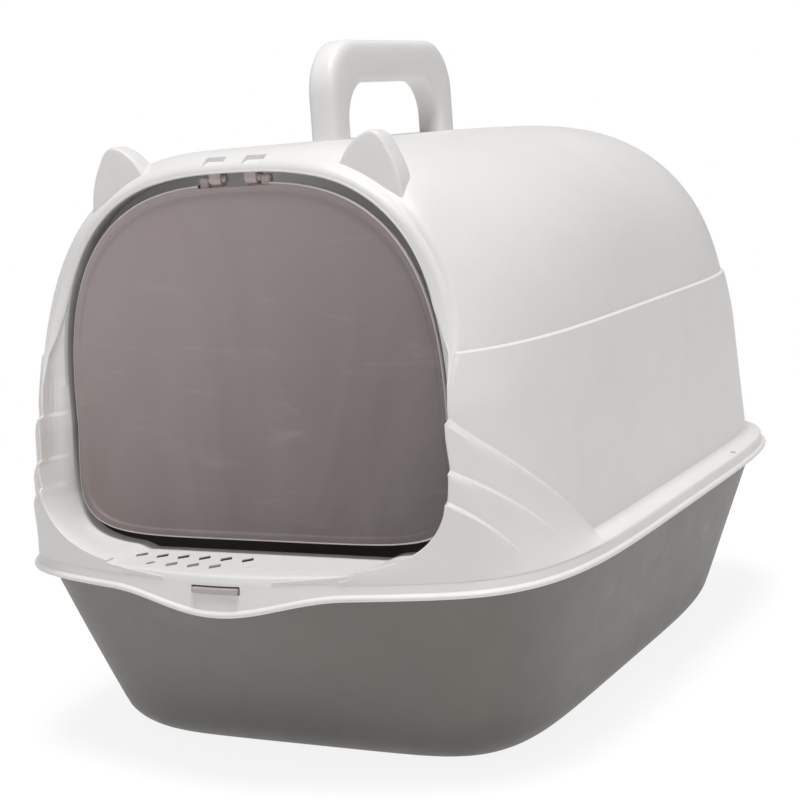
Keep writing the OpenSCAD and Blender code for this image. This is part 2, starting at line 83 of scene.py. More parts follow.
def mix(a, b, t):
    """a where t is 0 and b where it is 1."""
    return a + (b - a) * t


def smooth(v):
    """0 to 1 with level ends: 3v² − 2v³."""
    v = clamp(v)
    return v * v * (3 - 2 * v)


def bump(x, a):
    """cos² of a quarter turn over a, and 0 beyond it."""
    return np.where(np.abs(x) < a, np.cos(np.pi / 2 * np.asarray(x) / a) ** 2, 0)


def radius(a, b, n, p):
    """A superellipse's radius at p radians from its half-axis b.

    It is (|sin p / a|ⁿ + |cos p / b|ⁿ) to the power −1/n.
    """
    return ((np.abs(np.sin(p)) / a) ** n + (np.abs(np.cos(p)) / b) ** n) ** (-1 / n)


def rounded(keys, reach, steps=5):
    """A line of points, each an array, with its inner corners turned by parabolas.

    A corner's parabola starts up to reach mm away from it on both sides.
    """
    rows = [keys[0]]
    for i in range(1, len(keys) - 1):
        here, r = keys[i], reach[i] if np.ndim(reach) else reach
        ends = []
        for other in (keys[i - 1], keys[i + 1]):
            gap = np.linalg.norm(other - here, axis=-1, keepdims=True)
            ends.append(here + (other - here) * np.minimum(0.48, r / np.maximum(gap, 1e-6)))
        for t in np.linspace(0, 1, steps):
            rows.append((1 - t) ** 2 * ends[0] + 2 * t * (1 - t) * here + t * t * ends[1])
    rows.append(keys[-1])
    return np.array(rows)


# ---- Mesh making ----

# One mm, how close two points are merged, and the edge that is too short to keep, in metres
MM, MERGE, SLIVER = 0.001, 4e-6, 1e-7


def quads(rows, cols, wrap):
    """A grid's faces, one to a cell; with wrap the last column meets the first."""
    i, j = np.meshgrid(np.arange(rows - 1), np.arange(cols if wrap else cols - 1), indexing="ij")
    a, b = i * cols + j, i * cols + (j + 1) % cols
    return np.stack([a, b, b + cols, a + cols], -1).reshape(-1, 4)


def mesh_of(grids):
    """A mesh in metres from grids of points in mm, each (points, wrap); what meets is merged."""
    verts, faces, start = [], [], 0
    for points, wrap in grids:
        rows, cols = points.shape[:2]
        verts.append(points.reshape(-1, 3))
        faces += (quads(rows, cols, wrap) + start).tolist()
        start += rows * cols
    mesh = bpy.data.meshes.new("skin")
    mesh.from_pydata((np.concatenate(verts) * MM).tolist(), [], faces)
    bm = bmesh.new()
    bm.from_mesh(mesh)
    bmesh.ops.remove_doubles(bm, verts=bm.verts, dist=MERGE)
    bmesh.ops.dissolve_degenerate(bm, edges=bm.edges, dist=SLIVER)
    bmesh.ops.recalc_face_normals(bm, faces=bm.faces)
    if bm.calc_volume(signed=True) < 0:
        bmesh.ops.reverse_faces(bm, faces=bm.faces)
    bm.to_mesh(mesh)
    bm.free()
    return mesh


def piece(name, mesh, material, body, node, sharp=32):
    """An object that shows a mesh with a finish, rides on a body and stands for a CAD node."""
    obj = bpy.data.objects.new(name, mesh)
    bpy.context.scene.collection.objects.link(obj)
    mesh.name = name
    mesh.materials.clear()
    mesh.materials.append(material)
    mesh.shade_smooth()
    mesh.set_sharp_from_angle(angle=math.radians(sharp))
    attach(obj, body)
    if node:
        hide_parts(node)
    return obj


def carve(mesh, cutter):
    """The mesh less the cutter's mesh, by an exact Boolean."""
    base = bpy.data.objects.new("base", mesh)
    tool = bpy.data.objects.new("tool", cutter)
    for o in (base, tool):
        bpy.context.scene.collection.objects.link(o)
    cut = base.modifiers.new("cut", "BOOLEAN")
    cut.operation, cut.solver, cut.object = "DIFFERENCE", "EXACT", tool
    bpy.context.view_layer.update()
    out = bpy.data.meshes.new_from_object(base.evaluated_get(bpy.context.evaluated_depsgraph_get()))
    for o in (base, tool):
        bpy.data.objects.remove(o)
    return out


def prism(outline, base, top, axis=2):
    """A grid for a straight prism, closed to its middle at both ends.

    Its outline (n, 2) stands at the heights base and top along an axis.
    """
    outline = np.asarray(outline, float)
    rings = []
    for h, s in ((base, 0), (base, 1), (top, 1), (top, 0)):
        flat = outline.mean(0) + (outline - outline.mean(0)) * s
        rings.append(np.insert(flat, axis, h, axis=1))
    return np.array(rings), True


def box(x0, x1, y0, y1, z0, z1):
    """A grid for a plain box."""
    return prism([(x0, y0), (x1, y0), (x1, y1), (x0, y1)], z0, z1)


def rounded_box(lo, hi, r, n=6):
    """A grid for a box whose edges are rounded by r.

    Each eighth of a sphere of radius r is moved out to its own corner of the box that lies r inside.
    """
    lo, hi = np.array(lo, float), np.array(hi, float)
    u = np.concatenate([np.linspace(-90, 0, n), np.linspace(0, 90, n)])
    v = np.concatenate([np.linspace(k, k + 90, n) for k in (0, 90, 180, 270)])
    su, sv = np.repeat([-1, 1], n), np.repeat([0, 1, 2, 3], n)
    u, v = np.radians(u)[:, None], np.radians(v)[None, :]
    ball = np.stack([np.cos(u) * np.cos(v), np.cos(u) * np.sin(v), np.sin(u) + 0 * v], -1)
    sx = np.where((sv == 0) | (sv == 3), 1, -1)[None, :] + 0 * su[:, None]
    sy = np.where(sv < 2, 1, -1)[None, :] + 0 * su[:, None]
    sign = np.stack([sx, sy, su[:, None] + 0 * sx], -1)
    grid = (lo + hi) / 2 + sign * ((hi - lo) / 2 - r) + ball * r
    caps = np.concatenate([grid[:1] * 0 + grid[0].mean(0), grid, grid[:1] * 0 + grid[-1].mean(0)])
    return caps, True


# ---- Node materials ----


class Tone:
    """A node socket that Python's operators work on: each adds one Math node."""

    def __init__(self, kit, socket):
        self.kit, self.socket = kit, socket

    def _do(self, how, a, b):
        return self.kit.node("ShaderNodeMath", {"operation": how}, a, b)

    def __add__(self, other): return self._do("ADD", self, other)
    def __radd__(self, other): return self._do("ADD", other, self)
    def __sub__(self, other): return self._do("SUBTRACT", self, other)
    def __rsub__(self, other): return self._do("SUBTRACT", other, self)
    def __mul__(self, other): return self._do("MULTIPLY", self, other)
    def __rmul__(self, other): return self._do("MULTIPLY", other, self)
    def __truediv__(self, other): return self._do("DIVIDE", self, other)
    def __rtruediv__(self, other): return self._do("DIVIDE", other, self)
    def __pow__(self, other): return self._do("POWER", self, other)


class Finish:
    """A material's nodes, with one call for every kind of node."""

    def __init__(self, name, **shader):
        self.material = bpy.data.materials.new(name)
        self.material.use_nodes = True
        self.tree = self.material.node_tree
        self.shader = self.tree.nodes["Principled BSDF"]
        for key, value in shader.items():
            self.shader.inputs[key.replace("_", " ")].default_value = value
        self.place = self.node("ShaderNodeTexCoord", {}, out="Object")

    def node(self, kind, settings, *values, out=0, **named):
        """A node of a kind, with its settings and then its sockets' values or links; gives one output."""
        made = self.tree.nodes.new(kind)
        for key, value in settings.items():
            setattr(made, key, value)
        pairs = list(enumerate(values)) + [(k.replace("_", " "), v) for k, v in named.items()]
        for key, value in pairs:
            if isinstance(value, Tone):
                self.tree.links.new(value.socket, made.inputs[key])
            elif value is not None:
                made.inputs[key].default_value = value
        return Tone(self, made.outputs[out])

    def noise(self, scale, detail=2.0, rough=0.5, place=None, warp=0.0):
        return self.node("ShaderNodeTexNoise", {}, Vector=place or self.place, Scale=scale, Detail=detail,
                         Roughness=rough, Distortion=warp)

    def stretch(self, scale, turn=(0, 0, 0)):
        """The object's own places, scaled and turned."""
        return self.node("ShaderNodeMapping", {}, self.place, None, turn, scale)

    def part(self, axis):
        """The place along one axis, in metres."""
        return self.node("ShaderNodeSeparateXYZ", {}, self.place, out=axis)

    def ramp(self, value, low, high):
        """0 below low to 1 above high, with level ends."""
        return self.node("ShaderNodeMapRange", {"interpolation_type": "SMOOTHSTEP"}, value, low, high, 0.0, 1.0)

    def blend(self, t, a, b):
        """Colour a where t is 0 and b where it is 1."""
        made = self.tree.nodes.new("ShaderNodeMix")
        made.data_type = "RGBA"
        for key, value in ((0, t), (6, a), (7, b)):
            if isinstance(value, Tone):
                self.tree.links.new(value.socket, made.inputs[key])
            else:
                made.inputs[key].default_value = value if key == 0 else (*value, 1)
        return Tone(self, made.outputs[2])

    def feed(self, name, value):
        """Links a tone to one of the shader's inputs."""
        self.tree.links.new(value.socket, self.shader.inputs[name])

    def relief(self, height, depth, strength=0.5):
        """Grain in the surface: a height that is depth metres high."""
        bumped = self.node("ShaderNodeBump", {}, Strength=strength, Distance=depth, Height=height, out="Normal")
        self.feed("Normal", bumped)


def moulded(name, light, dark, rough, grain=0.00005, scuff=0.35, **shader):
    """Satin moulded plastic: a broad drift of tone, fine spark-eroded grain and faint rubbed patches."""
    f = Finish(name, **shader)
    drift = f.noise(9, 3, 0.55)
    cloud = f.noise(55, 3, 0.6)
    grain_h = f.noise(2600, 2, 0.6)
    rub = f.ramp(f.noise(26, 5, 0.7, f.stretch((1, 1, 2.6))), 0.55, 0.75)
    f.feed("Base Color", f.blend(f.ramp(drift * 0.7 + cloud * 0.3, 0.3, 0.7), light, dark))
    f.feed("Roughness", rough + (cloud - 0.5) * 0.10 - rub * scuff * 0.12)
    f.relief(grain_h + cloud * 0.6, grain, 0.6)
    return f


HOOD_TONES = (0.79, 0.775, 0.76), (0.755, 0.74, 0.725)
hood_white = moulded("hood_satin_white", *HOOD_TONES, 0.42, Specular_IOR_Level=0.4)
handle_white = moulded("handle_satin_white", (0.83, 0.82, 0.812), (0.80, 0.79, 0.782), 0.38)
# The tunnel's finish also carries painted shade behind its lip, set further down
tunnel_white = moulded("tunnel_satin_white_painted_shade", *HOOD_TONES, 0.42, Specular_IOR_Level=0.4)
tray_taupe = moulded("tray_satin_taupe", (0.17, 0.158, 0.143), (0.151, 0.14, 0.127), 0.46, scuff=0.6)
# The door's edge is coloured pale: a painted highlight along its glossy rim
painted_highlight_finish = moulded("door_edge_painted_highlight", (0.62, 0.58, 0.57), (0.54, 0.50, 0.49), 0.3)
catch_grey = moulded("catch_taupe", (0.50, 0.45, 0.43), (0.44, 0.40, 0.38), 0.4)


def door_smoke():
    """Frosted smoke plastic: lighter upward and towards the left, with faint cloudy swirls in it and fine grain
    on it.
    """
    f = Finish("door_smoke", IOR=1.49, Coat_Weight=0.15, Coat_Roughness=0.2)
    swirl = f.noise(7, 4, 0.62, f.stretch((1.2, 1, 0.7), (0, 0.6, 0)), 1.6)
    haze = f.noise(30, 5, 0.65, None, 1.0)
    wisps = f.noise(11, 5, 0.6, f.stretch((0.5, 1, 2.2), (0, -0.5, 0)), 2.2)
    streak = f.ramp(wisps, 0.56, 0.74)
    # The tint is lighter upward and towards the left
    lift = f.ramp(f.part("Z") - f.part("X") * 0.69, 0.05, 0.42)
    base = f.blend(lift, (0.145, 0.122, 0.117), (0.40, 0.335, 0.33))
    f.feed("Base Color", f.blend(streak * 0.2 + (swirl - 0.5) * 0.4 + 0.04, base, (0.46, 0.40, 0.39)))
    f.feed("Roughness", 0.34 + (haze - 0.5) * 0.16)
    f.feed("Alpha", 0.90 + (swirl - 0.5) * 0.08)
    f.relief(f.noise(1900, 2, 0.6) + swirl * 2.0, 0.00004, 0.5)
    return f


def clear_pink():
    """The hinge's half-clear plastic, a little milky and pink."""
    f = Finish("hinge_clear_pink", IOR=1.49, Coat_Weight=0.3, Coat_Roughness=0.12)
    milk = f.noise(140, 3, 0.6)
    f.feed("Base Color", f.blend(milk, (0.66, 0.55, 0.54), (0.56, 0.46, 0.45)))
    f.feed("Roughness", 0.22 + milk * 0.12)
    f.feed("Alpha", 0.78 + milk * 0.1)
    f.relief(milk, 0.0001, 0.4)
    return f


def felt_black():
    """Carbon felt: loose dark fibres over a coarse mat."""
    f = Finish("felt_black", Sheen_Weight=0.4)
    fibre = f.noise(900, 4, 0.75, f.stretch((1, 3.5, 1)))
    mat = f.noise(220, 3, 0.6)
    f.feed("Base Color", f.blend(fibre, (0.018, 0.018, 0.02), (0.05, 0.05, 0.053)))
    f.feed("Roughness", 0.85 + mat * 0.1)
    f.relief(fibre + mat, 0.0008, 0.8)
    return f


door_finish, pink_finish, felt_finish = door_smoke(), clear_pink(), felt_black()

# Painted shade: the tunnel's colour darkens just behind its lip, from 150 to 200 mm up and above, for the shadow
# in the gap round the door
behind = tunnel_white.ramp(tunnel_white.part("Y"), -0.2155, -0.2135)
raised = tunnel_white.ramp(tunnel_white.part("Z"), 0.15, 0.2)
pale = Tone(tunnel_white, tunnel_white.shader.inputs["Base Color"].links[0].from_socket)
tunnel_white.feed("Base Color", tunnel_white.blend(behind * raised, pale, (0.38, 0.37, 0.34)))

# ---- Outlines of the tray and the hood's skirt ----

# Angles round the box from its front: closest at the corners and over the nose
ROUND = np.radians(np.concatenate([
    np.linspace(0, 24, 22, endpoint=False), np.linspace(24, 48, 40, endpoint=False),
    np.linspace(48, 118, 30, endpoint=False), np.linspace(118, 160, 44, endpoint=False),
    np.linspace(160, 180, 9)]))
ROUND = np.concatenate([ROUND, 2 * np.pi - ROUND[-2:0:-1]])


def ring(reach, n, z, front_z=None, nose=0.0, dip=0.0):
    """A plan outline: a superellipse on each half, with its front pushed out and let down.

    The front's own height comes in from y −150 to −230; the nose and the dip are cos² bumps.
    """
    fore = np.cos(ROUND) > 0
    b = np.where(fore, reach[1], reach[2])
    r = radius(reach[0], b, np.where(fore, n[0], n[1]), ROUND)
    x, y = r * np.sin(ROUND), MID_Y - r * np.cos(ROUND)
    w = clamp((-y - 150) / 80) * fore
    height = mix(z, z if front_z is None else front_z, w) - fore * dip * DIP_Z * bump(x, DIP_A)
    return np.stack([x, y - fore * nose * NOSE_Y * bump(x, NOSE_A), height], -1)


def grow(reach, g):
    """An outline's reaches, each g longer."""
    return tuple(v + g for v in reach)


def tray_ring(z, g):
    """The tray's outline at height z, drawn in by g: from the floor's superellipse to the rim's."""
    t = z / TOP_Z
    reach = tuple(mix(a, b, t) - g for a, b in zip(FLOOR, grow(RIM, -FLANGE_W)))
    return ring(reach, tuple(mix(a, b, t) for a, b in zip(FLOOR_N, RIM_N)), z, nose=t ** 1.5)


def build_tray():
    """Outer wall up from a quarter-round foot to a rolled flange, then the same wall back down inside."""
    up = np.linspace(0.16, 0.985, 16)
    outer = [tray_ring(FOOT_R * (1 - math.cos(p)), FOOT_R * (1 - math.sin(p)))
             for p in np.radians(np.linspace(0, 82, 14))]
    outer += [tray_ring(t * TOP_Z, 0) for t in up[1:]]
    flange = rounded([tray_ring(TOP_Z - 1.5, 0), tray_ring(TOP_Z, 0),
                      ring(RIM, RIM_N, TOP_Z, nose=1), ring(RIM, RIM_N, RIM_Z, nose=1),
                      ring(grow(RIM, -FLANGE_W - TRAY_T), RIM_N, RIM_Z, nose=1),
                      tray_ring(TOP_Z - 3, TRAY_T)], 0.9)
    inner = [tray_ring(t * TOP_Z, TRAY_T) for t in up[::-1][1:]]
    foot_in = FOOT_R - TRAY_T
    inner += [tray_ring(FOOT_R - foot_in * math.cos(p), FOOT_R - foot_in * math.sin(p))
              for p in np.radians(np.linspace(82, 0, 14))]
    rows = np.array(outer + list(flange) + inner)
    hub = lambda r, s: np.stack([r[:, 0] * s, MID_Y + (r[:, 1] - MID_Y) * s, r[:, 2]], -1)
    low = [hub(rows[0], s) for s in (0, 0.4, 0.75, 0.95)]
    high = [hub(rows[-1], s) for s in (0.95, 0.75, 0.4, 0)]
    mesh = mesh_of([(np.concatenate([low, rows, high]), True)])
    catch_seat = box(-15, 15, NOSE_TIP - 1, NOSE_TIP + 1.5, TOP_Z - 0.01, TOP_Z + 6)
    return carve(mesh, mesh_of([catch_seat]))


piece("tray_shell", build_tray(), tray_taupe.material, "tray", "tray", 40)

# ---- Hood: the dome's section at a height ----


def fall(u, n):
    """The share of its width that the dome keeps at u of its rise: (1 − uᵐ) to the power 1/k, n = (m, k)."""
    return np.maximum(0, 1 - u ** n[0]) ** (1 / n[1])


def section(z, t):
    """The wall at height z, drawn in by t: half-width, rear reach and both exponents.

    Above the spring it falls to the ridge, and the panel line is a step that fades over 50 mm.
    """
    u = clamp((z - SPRING_Z) / (RIDGE_Z - t - SPRING_Z))
    line = LINE_OUT * clamp((z - LINE_Z) / 1.1) * clamp(1 - (z - LINE_Z) / 50)
    a = (WALL[0] - LEAN_X * (z - FOOT_Z)) * fall(u, ROOF_X) - t
    aft = (WALL[2] - LEAN_Y * (z - FOOT_Z)) * fall(u, ROOF_Y) - t
    return (np.maximum(a - line, 1e-4), np.maximum(aft - line, 1e-3),
            mix(WALL_N[0], ROOF_N[0], u), mix(WALL_N[1], ROOF_N[1], u))


def face_y(z):
    """The front face's place at height z: its corner points, averaged over 16 mm so that it bends softly."""
    return np.mean([np.interp(z + d, FACE[:, 1], FACE[:, 0]) for d in np.linspace(-8, 8, 9)], axis=0)


def whisker_z(k, p):
    """Height of whisker line k at p degrees.

    It falls with the angle, faster further back, and past its end keeps its share of line 0.
    """
    end, up, slope, curve = WHISKERS[k]
    q = np.minimum(p, end)
    d = q - WHISKER_C
    z = RIM_Z + up - slope * d - curve * np.maximum(0, d) * d
    if k == 0:
        return z
    return BAND_Z + (z - BAND_Z) * (whisker_z(0, p) - BAND_Z) / (whisker_z(0, q) - BAND_Z)


def cheek(p, z):
    """How far the cheek stands out at p degrees and height z.

    It is a chamfered step under each whisker line, and a swell down to flush with the skirt's band.
    """
    q, fade = np.radians(clamp(p, 0, CHEEK_TO)), smooth((CHEEK_TO + 0.5 - p) / 1.2)
    sink = 0.9 * smooth((123.3 - z) / 1.2)
    p = clamp(p, CHEEK_FROM, CHEEK_TO)
    out = 0
    for k, (end, *_) in enumerate(WHISKERS):
        step = 3.5 * (1 - 0.1 * k) * clamp((end - p) / (end - WHISKER_C)) ** 0.6
        top = whisker_z(k, p)
        below = clamp((top - z) / np.maximum(top - BAND_Z, 0.3))
        v = clamp((top - z) / (0.62 * step + 0.25))
        edge = mix(v, smooth(v), 0.4)
        if k:
            out = out + step * (1 - below) * edge
        else:
            band_out = SKIRT_OUT - 0.6
            band = radius(RIM[0] + band_out, RIM[1] + band_out, RIM_N[0], q)
            wall = radius(WALL[0] - LEAN_X * (BAND_Z - FOOT_Z), WALL[1], WALL_N[0], q)
            out = out + mix(step * edge, band + 0.35 - wall, below * below)
    return (out - sink) * fade


def nose(x, z):
    """How far the apron's cos² nose pushes the front skin out; it dies away 26 mm over the skirt's band."""
    return NOSE_Y * bump(x, NOSE_A) * smooth((150 - z) / 24)


def on_wall(z, y, t, details):
    """The wall's point at height z whose plain section lies at y.

    With details the cheek's relief is added outward from the middle, and the nose forward.
    """
    a, aft, n_fore, n_aft = section(z, t)
    fore = WALL[1] - t
    reach = np.where(y < MID_Y, fore, aft)
    n = np.where(y < MID_Y, n_fore, n_aft)
    x = a * np.maximum(0, 1 - clamp(np.abs(y - MID_Y) / reach) ** n) ** (1 / n)
    if details:
        r = np.maximum(np.hypot(x, y - MID_Y), 1e-6)
        p = np.degrees(np.arctan2(x, MID_Y - y))
        k = 1 + np.where(z < LINE_Z + 1, cheek(p, z), 0) / r
        x, y = x * k, MID_Y + (y - MID_Y) * k
        y = y - np.where(y < 0, nose(x, z), 0)
    return np.stack([x, y, z + 0 * x], -1)


def front_y(x, z, details=True):
    """The plain section's y under a point of the front skin at x and z."""
    a, _, n, _ = section(z, 0)
    k = 1.0
    for _ in range(4 if details else 1):
        xs = np.minimum(x / k, a * 0.9999)
        y = MID_Y - WALL[1] * np.maximum(0, 1 - (xs / a) ** n) ** (1 / n)
        if details:
            p = np.degrees(np.arctan2(xs, MID_Y - y))
            k = 1 + cheek(p, z) / np.hypot(xs, y - MID_Y)
    return y, k


# ---- Hood: the door's opening ----


def ease(z):
    """How far the opening's sides are drawn in under its spring: all of WIDER there, none 40 mm below."""
    return WIDER * (1 - clamp((OPEN_Z - z) / 40))


def spread(z):
    """The share of the flare at height z: none at the sill, all of it 50 mm up."""
    return clamp((z - SILL_Z - 2) / 50)


def arch(phi, side=0.0, up=0.0, down=0.0, g=0.0, n=6):
    """The opening's outline in XZ at phi radians above the level through its spring.

    Superellipses above and below, eased in at the lower corners and flared by g.
    """
    high = radius(OPEN_UP + up + g, OPEN_A + side + g, OPEN_N, phi)
    low = radius(OPEN_DOWN + down, OPEN_A + WIDER + side, n, phi)
    r = np.where(np.sin(phi) > 0, high, low)
    x, z = r * np.cos(phi), OPEN_Z + r * np.sin(phi)
    under = np.sin(phi) <= 0
    x = x - np.sign(x) * (ease(z) * under) * np.minimum(1, np.abs(x) / 20)
    x = x + np.sign(x) * g * spread(z) * under * np.minimum(1, np.abs(x) / 20)
    return x, z


def arch_x(z):
    """Half-width of the opening at height z."""
    under = clamp(OPEN_Z - z, 0, OPEN_DOWN - 2) / OPEN_DOWN
    low = (OPEN_A + WIDER) * np.maximum(0, 1 - under ** MOUTH_N) ** (1 / MOUTH_N)
    low = low - ease(z) + FLARE * spread(z) - 15 * clamp(SILL_Z + 0.2 - z, 0, 3)
    over = clamp(z - OPEN_Z, 0, OPEN_UP + FLARE) / (OPEN_UP + FLARE)
    high = (OPEN_A + FLARE) * np.maximum(0, 1 - over ** OPEN_N) ** (1 / OPEN_N)
    return np.where(z < OPEN_Z, low, high)


def sag(x):
    """How far the opening's top hangs in the middle: HANG within 38 mm, none beyond 72 mm."""
    return HANG * smooth((72 - np.abs(x)) / 34)


def mouth(phi):
    """Where the opening cuts the skin at phi: the skin's y there, and how much of the flare there is room for."""
    x, z = arch(phi, 1.2, 1.2, 1.2, FLARE, MOUTH_N)
    z = np.maximum(z, 126.5)
    y, k = front_y(np.abs(x), z)
    y = np.maximum(MID_Y + (y - MID_Y) * k - nose(x, z), face_y(z))
    return y, clamp((-217.5 - np.maximum(y + LIP, -224)) / 6.5)


def mouth_line(phi, out, share):
    """The opening's outline in XZ where it meets the skin, out mm outside."""
    x, z = arch(phi, out, out, out, FLARE * share, MOUTH_N)
    return x, z - sag(x) * (np.sin(phi) > 0)


# ---- Hood: the dome with its front face ----

# Places along a level from the front edge to the rear corner, on to the rear middle, and over the face
ALONG = np.concatenate([np.linspace(0, 0.021, 12, endpoint=False), np.linspace(0.021, 0.235, 62, endpoint=False),
                        np.linspace(0.235, 0.8, 26, endpoint=False), np.linspace(0.8, 1, 16)])
BEHIND = 1 - np.linspace(0, 1, 26)[1:] ** 0.8
FACE_IN = 1 - np.linspace(0, 1, 11)[:-1] ** 1.6

# Rows under a whisker line and round the panel line, in mm from it, and the roof's rows as angles of its curve
WHISKER_ROWS = (-3, -2.4, -2.1, -1.5, -0.9, -0.35, 0)
LINE_ROWS = (-1.9, -1.4, -1.1, -0.95, -0.75, -0.55, -0.35, -0.15, 0, 0.3, 1.2)
ROOF_ROWS = np.radians(np.concatenate([np.linspace(0, 42, 15)[1:], np.linspace(42, 90, 25)[1:]]))


def level_heights(p):
    """Heights of the grid's rows at p degrees.

    Rows gather at the skirt's band, under each whisker line and at the panel line, then climb the roof.
    """
    foot = mix(122, 123, smooth((p - 51) / 2))
    p = clamp(p, CHEEK_FROM, CHEEK_TO)
    keys = [foot] + [np.maximum(whisker_z(k, p), least) for k, least in ((2, 126), (1, 128), (0, 130))]
    keys.append(np.full_like(p, LINE_Z + 1.1))
    squeeze = clamp((keys[1] - foot - 1) / 16)
    rows = [foot + h * squeeze for h in (0, 0.7, 1.3, 2, 3, 4, 5, 6, 7, 8, 9.5, 12)]
    for i, count in enumerate((8, 7, 9, 12)):
        start = keys[i] + 0.5 * near if i else rows[-1]
        near = np.minimum(1, (keys[i + 1] - keys[i]) / 12)
        drops = WHISKER_ROWS if i < 3 else LINE_ROWS
        first = keys[i + 1] + drops[0] * near
        rows += [mix(start, first, f) for f in np.linspace(0, 1, count)[(0 if i else 1):-1]]
        rows += [keys[i + 1] + d * near for d in drops]
    for q in ROOF_ROWS:
        u = (1 - math.cos(q) ** ROOF_X[1]) ** (1 / ROOF_X[0])
        rows.append(np.full_like(p, SPRING_Z + u * (RIDGE_Z - SPRING_Z)))
    return rows


def dome_rows(p):
    """Row heights without those of the roof that lie under the panel line."""
    rows, roof = level_heights(p), len(ROOF_ROWS)
    return np.array(rows[:-roof] + [r for r in rows[-roof:] if r.flat[0] > LINE_Z + 4])


def fillet(t, r, q):
    """Where a point at distance t from a square edge goes when the edge is rounded.

    The rounding reaches r on the point's own side and q on the other: (its new distance, its depth).
    """
    a = np.radians(45) * clamp(1 - t / np.maximum(r, 1e-6))
    near = t < r
    return np.where(near, r - r * np.sin(a), t), np.where(near, q - q * np.cos(a), 0)


def face_edge(edge, t, details):
    """The plain section's y where a level at height edge leaves the front face or the opening."""
    x = arch_x(edge) + 1.0
    ys, k = front_y(x, edge)
    if not details:
        a, _, n, _ = section(edge, t)
        ys = MID_Y - (WALL[1] - t) * np.maximum(0, 1 - (x / a) ** n) ** (1 / n)
    ys = np.where(edge > OPEN_Z + OPEN_UP - 1, -400, ys)
    start = np.maximum(ys, MID_Y + (face_y(edge) + t - MID_Y) / k)
    for _ in range(3):
        probe = on_wall(edge, start, 0, True)
        out = nose(probe[..., 0], edge)
        r = np.hypot(probe[..., 0], probe[..., 1] + out - MID_Y)
        swell = cheek(np.degrees(np.arctan2(probe[..., 0], MID_Y - probe[..., 1] - out)), edge)
        k = r / np.maximum(r - np.where(edge < LINE_Z + 1, swell, 0), 1)
        start = np.maximum(ys, MID_Y + (face_y(edge) + out + t - MID_Y) / (k if details else 1))
    return start


def face_strip(e, t, details):
    """The front face's columns, from the opening's outline to the side's first column e.

    Gives them with their half of the rounded edge, and the edge's reach on the face and on the side.
    """
    phi = np.arctan2(e[:, 2] - OPEN_Z, e[:, 0])
    ox, oz = mouth_line(phi, 0.9, mouth(phi)[1])
    beyond = np.hypot(e[:, 0], e[:, 2] - OPEN_Z) > np.hypot(ox, oz - OPEN_Z) + 0.05
    outside = beyond & (e[:, 2] > 130)
    ox, oz = np.where(outside, ox, e[:, 0]), np.where(outside, oz, e[:, 2])
    wide = np.hypot(e[:, 0] - ox, e[:, 2] - oz)
    f = FACE_IN[None, :]
    fx, fz = mix(e[:, :1], ox[:, None], f), mix(e[:, 2:3], oz[:, None], f)
    fy = np.where(e[:, 2:3] < 255, np.maximum(face_y(fz) + t, e[:, 1:2]), face_y(fz) + t)
    fy = np.where(wide[:, None] > 0.3, fy, e[:, 1:2])
    strip = np.stack([fx, fy, fz], -1)
    r = clamp(0.75 * wide, 0, mix(3.4, 7, smooth((e[:, 2] - 240) / 90))) * details
    brow = smooth((e[:, 2] - 305) / 50)
    low, r = mix(r, 0.95 * wide, brow)[:, None], mix(r, 33, brow)[:, None]
    new, depth = fillet(np.hypot(fx - e[:, :1], fz - e[:, 2:3]), low, r)
    out = np.stack([ox - e[:, 0], oz - e[:, 2]], -1) / np.maximum(wide, 1e-6)[:, None]
    strip[..., [0, 2]] = e[:, None, [0, 2]] + out[:, None, :] * new[..., None]
    strip[..., 1] += depth
    return strip, low, r


def round_side(side, low, r):
    """The side with its half of the rounded edge: sunk along its normals and drawn back from the face."""
    du, dv = np.gradient(side, axis=0), np.gradient(side, axis=1)
    normal = np.cross(dv, du)
    normal /= np.maximum(np.linalg.norm(normal, axis=-1, keepdims=True), 1e-9)
    normal *= np.sign(normal[..., :1] * 1.001 + normal[..., 2:] * 0.5 + 1e-9)
    dist = side[..., 1] - side[:, :1, 1]
    new, depth = fillet(dist, r, low)
    side = side - normal * depth[..., None]
    side[..., 1] += np.where(dist < r, new - dist, 0)
    side[-1, :, 0] = 0
    return side


def dome_half(t, details):
    """One side of the dome, drawn in by t: its rows are levels.

    Its columns run from the door's opening across the face, round its edge and back to the rear middle.
    """
    p = np.full(len(ALONG), 40.0)
    for _ in range(4):
        z = dome_rows(p)
        z = np.where(z > SPRING_Z, mix(z, SPRING_Z, t / (RIDGE_Z - SPRING_Z)), z)
        start = face_edge(z[:, :1], t, details)
        _, aft, _, n_aft = section(z, t)
        corner = MID_Y + aft * 0.5 ** (1 / n_aft)
        y = mix(start, corner, ALONG[None, :])
        pts = on_wall(z, y, 0, True)
        p = np.degrees(np.arctan2(pts[..., 0], MID_Y - pts[..., 1]))[20]
    side = on_wall(z, y, t, details)
    rear_z = z[:, -1:]
    a, aft, _, n_aft = section(rear_z, t)
    x = a * 0.5 ** (1 / n_aft) * BEHIND[None, :]
    y = MID_Y + aft * np.maximum(0, 1 - (x / a) ** n_aft) ** (1 / n_aft)
    rear = np.stack([x, y, rear_z + 0 * x], -1)
    strip, low, r = face_strip(side[:, 0], t, details)
    return np.concatenate([strip, round_side(side, low, r), rear], axis=1)


def build_dome():
    """Both skins of both halves, closed round the opening and along the foot."""
    grids = []
    outer, inner = dome_half(0, True), dome_half(HOOD_T, False)
    inner[..., 2] = np.minimum(inner[..., 2], RIDGE_Z - HOOD_T)
    for skin in (outer, inner):
        skin[-1, :, 0] = 0
        skin[:, -1, 0] = 0
    foot = np.stack([outer[0], inner[0]])
    around = np.stack([outer[:, 0], inner[:, 0]])
    for grid in (outer, inner, foot, around):
        grids += [(grid, False), (grid * np.array([-1, 1, 1]), False)]
    return mesh_of(grids)


# A recess over the hinge, seen from the side, (y, z)
RECESS = [(-217, 348), (-213, 348.2), (-206.9, 350.1), (-206.9, 362), (-217, 362)]


